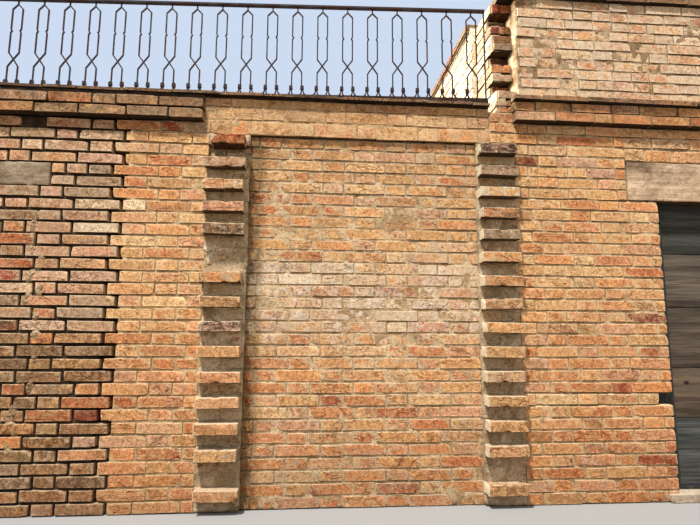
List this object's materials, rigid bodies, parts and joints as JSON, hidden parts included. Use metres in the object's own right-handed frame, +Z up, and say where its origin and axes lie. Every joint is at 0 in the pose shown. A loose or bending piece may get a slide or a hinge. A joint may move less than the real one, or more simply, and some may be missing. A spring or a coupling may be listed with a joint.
{
  "type": "brick garden wall",
  "caption": "Free-standing old brick garden wall with a recessed panel between toothed brick strips, a boarded door under a stone lintel, cornices and an iron railing.",
  "frame": {"origin": "middle of the wall's underside, halfway along its length and through its thickness", "axes": "+X along the wall to the right as seen from its face, +Y through the wall from the face to the back, +Z up"},
  "size_m": [6.245, 1.581, 3.285],
  "materials": {
    "old_brick": "worn, dirty brick with open dark joints",
    "golden_brick": "golden orange hand-made brick with sandy mortar",
    "pale_brick": "pale pinkish brick smeared with mortar",
    "broken_brick": "broken red and brown brick",
    "mortar_face": "rough lime mortar",
    "stone": "rough weathered stone",
    "tile": "weathered flat bricks and tiles",
    "iron": "rusty dark wrought iron",
    "painted_wood": "faded blue grey paint",
    "grey_wood": "weathered grey boards"
  },
  "bodies": {
    "wall": {"old_wall_section": "old_brick", "inset_stone": "stone", "second_wall_section": "golden_brick", "left_strip_pier": "mortar_face", "left_strip_bricks": "golden_brick", "centre_panel": "golden_brick", "frieze_band": "golden_brick", "right_strip_pier": "mortar_face", "right_strip_bricks": "golden_brick", "jamb_wall_section": "golden_brick", "wall_over_door": "golden_brick", "end_wall_section": "golden_brick", "door_lintel": "stone", "door_threshold": "stone", "frame_left_post": "painted_wood", "frame_right_post": "painted_wood", "frame_head": "painted_wood", "frame_sill": "painted_wood", "hinge_pins": "iron", "left_cornice_lower": "old_brick", "left_cornice_upper": "old_brick", "right_cornice_lower": "golden_brick", "right_cornice_upper": "golden_brick", "right_cornice_tiles": "tile", "coping_bed_mortar": "mortar_face", "coping_slabs": "tile", "railing_bed": "mortar_face", "railing_top_rail": "iron", "railing_loops": "iron", "railing_connectors": "iron", "railing_collars": "iron", "railing_end_posts": "iron", "raised_wall": "pale_brick", "raised_wall_broken_end": "broken_brick", "raised_wall_cap": "tile", "return_wall": "pale_brick", "return_wall_cap": "tile"},
    "door": {"door_board_1": "grey_wood", "door_board_2": "grey_wood", "door_board_3": "grey_wood", "door_board_4": "grey_wood", "door_board_5": "grey_wood", "door_battens": "grey_wood", "hinge_straps": "iron"}
  },
  "joints": [
    {"name": "door_hinge", "type": "hinge", "parent": "wall", "child": "door", "pos_m": [1.366, -0.036, 0.33], "axis": [0, 0, 1], "range_deg": [0, 100]}
  ]
}
